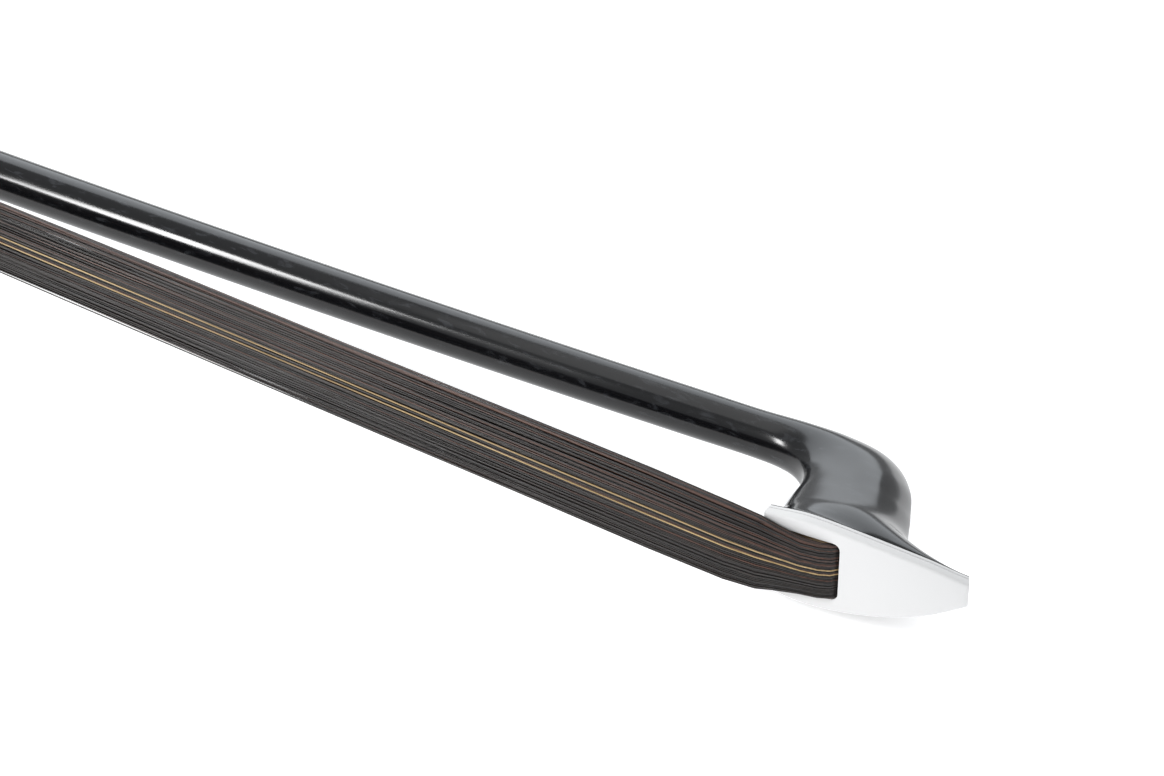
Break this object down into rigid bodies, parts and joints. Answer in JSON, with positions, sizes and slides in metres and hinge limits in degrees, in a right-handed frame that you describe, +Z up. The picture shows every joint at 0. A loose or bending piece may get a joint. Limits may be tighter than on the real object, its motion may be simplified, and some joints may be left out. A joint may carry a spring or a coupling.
{
  "type": "violin bow",
  "caption": "Violin bow lying on its side: cambered stick with a head and white tip plate, flat ribbon of hair, sliding frog and a screw adjuster with a button.",
  "frame": {"origin": "centre of the bounding box in plan, on the surface the bow lies on", "axes": "+X along the hair to the tip, -Y from the stick to the hair, +Z up from the surface, across the bow"},
  "size_m": [0.7376, 0.0336, 0.0135],
  "materials": {
    "carbon": "clear lacquer over black carbon fibre",
    "plate_white": "satin white",
    "liner_black": "matt black",
    "hair_black": "dark horse hair",
    "thread": "waxed thread",
    "plug_wood": "bare",
    "ebony": "polished",
    "pearl": "polished shell",
    "silver": "polished nickel silver",
    "brass": "turned",
    "steel": "turned",
    "leather": "smooth black"
  },
  "bodies": {
    "stick": {"stick": "carbon", "head_liner": "liner_black", "tip_plate": "plate_white", "tip_plug": "plug_wood", "tip_hair_knot": "thread", "hair": "hair_black", "thumb_leather": "leather", "grip_winding": "silver"},
    "frog": {"frog": "ebony", "frog_plug": "plug_wood", "frog_hair_knot": "thread", "ferrule": "silver", "spread_wedge": "plug_wood", "slide_base": "ebony", "pearl_slide": "pearl", "heel_plate": "silver", "underslide": "silver", "eyelet": "brass", "eye_ring_left": "silver", "eye_ring_right": "silver", "eye_pearl_left": "pearl", "eye_pearl_right": "pearl"},
    "adjuster": {"screw": "steel", "button_ring_front": "silver", "button_core": "ebony", "button_ring_rear": "silver", "button_pearl": "pearl"}
  },
  "joints": [
    {"name": "frog_slide", "type": "slide", "parent": "stick", "child": "frog", "axis": [0.9979, -0.0645, 0], "range_m": [-0.0015, 0.004], "deforming": ["hair"]},
    {"name": "button_turn", "type": "hinge", "parent": "stick", "child": "adjuster", "pos_m": [-0.3612, 0.01216, 0.00675], "axis": [0.9979, -0.0645, 0], "range_deg": [-2060, 775]}
  ],
  "couplings": [
    {"joint": "button_turn", "follows": "frog_slide", "rad_per_m": -8976}
  ]
}
